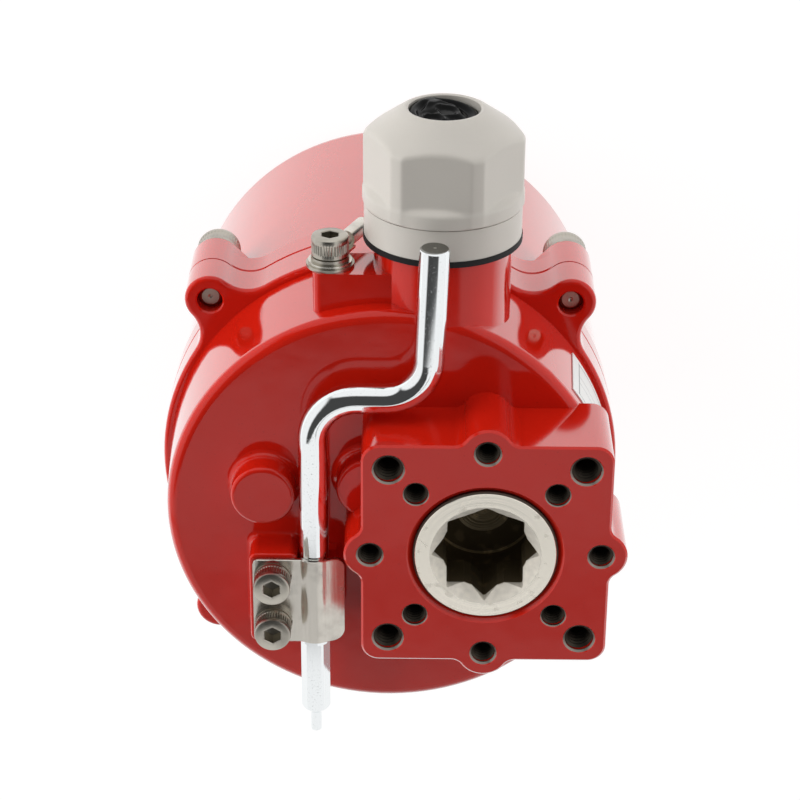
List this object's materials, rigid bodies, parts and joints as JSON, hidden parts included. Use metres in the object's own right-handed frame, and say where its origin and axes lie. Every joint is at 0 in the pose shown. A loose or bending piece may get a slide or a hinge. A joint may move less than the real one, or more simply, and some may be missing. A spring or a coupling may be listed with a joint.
{
  "type": "quarter-turn electric valve actuator",
  "caption": "Compact electric actuator that turns a valve stem a quarter turn: lobed mounting pad with a double-square sleeve, round red housing, cable gland and clipped hand crank.",
  "frame": {"origin": "centre of the mounting face, on the output sleeve's axis", "axes": "+Z out of the mounting face towards the valve, +Y to the cable gland; the round housing's middle is on -X and the part stands on the flat end of its cover"},
  "size_m": [0.088, 0.1209, 0.107],
  "materials": {
    "red_enamel": "glossy red powder enamel",
    "black_rubber": "matte black rubber",
    "plug_rubber": "black, slightly glossy",
    "grommet_rubber": "grey rubber",
    "label_film": "pale printed film, left blank",
    "clear_window": "clear moulded window",
    "stainless": "bright stainless steel",
    "clip_steel": "satin stainless sheet",
    "crank_chrome": "bright plated steel",
    "gland_plastic": "pale grey nylon, satin",
    "lug_tin": "tinned copper",
    "sleeve_nickel": "turned and nickel plated",
    "gear_steel": "machined steel, oiled",
    "zinc_plate": "zinc plated steel",
    "bronze": "sintered bronze",
    "terminal_brass": "plated brass",
    "cam_plastic": "natural acetal",
    "indicator_yellow": "yellow plastic",
    "switch_black": "black phenolic",
    "motor_steel": "drawn and zinc plated",
    "gearhead_zinc": "die cast",
    "board_laminate": "green solder mask",
    "terminal_plastic": "green terminal plastic",
    "capacitor_sleeve": "plain aluminium can"
  },
  "bodies": {
    "housing": {"base_housing": "red_enamel", "top_cover": "red_enamel", "cover_seal": "black_rubber", "window_seal": "black_rubber", "gland_gasket": "black_rubber", "manual_port_plug": "black_rubber", "gland_plug": "plug_rubber", "gland_grommet": "grommet_rubber", "side_label": "label_film", "indicator_window": "clear_window", "cover_screws": "stainless", "cover_spring_washers": "stainless", "clip_screws": "stainless", "clip_spring_washers": "stainless", "earth_screw": "stainless", "earth_spring_washer": "stainless", "earth_washer": "stainless", "window_retainer": "stainless", "window_retainer_screws": "stainless", "crank_clip": "clip_steel", "gland_body": "gland_plastic", "gland_nut": "gland_plastic", "earth_lug": "lug_tin", "gear_plate": "zinc_plate", "gear_plate_screws": "zinc_plate", "motor_screws": "zinc_plate", "board_screws": "zinc_plate", "switch_bracket": "zinc_plate", "switch_screws": "zinc_plate", "output_bush": "bronze", "terminal_screws": "terminal_brass", "board_posts": "terminal_brass", "limit_switches": "switch_black", "motor_can": "motor_steel", "gearhead": "gearhead_zinc", "circuit_board": "board_laminate", "terminal_block": "terminal_plastic", "run_capacitor": "capacitor_sleeve"},
    "output": {"drive_sleeve": "sleeve_nickel", "sleeve_o_ring": "black_rubber", "output_gear": "gear_steel", "output_key": "gear_steel", "gear_circlip": "gear_steel", "cam_shaft": "gear_steel", "open_cam": "cam_plastic", "closed_cam": "cam_plastic", "position_indicator": "indicator_yellow"},
    "second_gear": {"second_pinion": "gear_steel", "second_wheel": "gear_steel"},
    "first_gear": {"manual_shaft": "gear_steel", "first_wheel": "gear_steel"},
    "motor_drive": {"motor_pinion": "gear_steel", "motor_shaft": "gear_steel"},
    "crank": {"hand_crank": "crank_chrome"}
  },
  "joints": [
    {"name": "output_turn", "type": "hinge", "parent": "housing", "child": "output", "pos_m": [0, 0, 0], "axis": [0, 0, 1], "range_deg": [0, 90]},
    {"name": "second_turn", "type": "hinge", "parent": "housing", "child": "second_gear", "pos_m": [-0.02147, 0.00824, 0], "axis": [0, 0, 1], "range_deg": [-325, 1]},
    {"name": "first_turn", "type": "hinge", "parent": "housing", "child": "first_gear", "pos_m": [-0.0409, 0.00654, 0], "axis": [0, 0, 1], "range_deg": [-1, 1081]},
    {"name": "motor_turn", "type": "hinge", "parent": "housing", "child": "motor_drive", "pos_m": [-0.03543, -0.00849, 0], "axis": [0, 0, 1], "range_deg": [-4681, 1]},
    {"name": "crank_slide", "type": "slide", "parent": "housing", "child": "crank", "axis": [0, 1, 0], "range_m": [0, 0.045]}
  ],
  "couplings": [
    {"joint": "second_turn", "follows": "output_turn", "ratio": -3.6},
    {"joint": "first_turn", "follows": "output_turn", "ratio": 12},
    {"joint": "motor_turn", "follows": "output_turn", "ratio": -52}
  ]
}
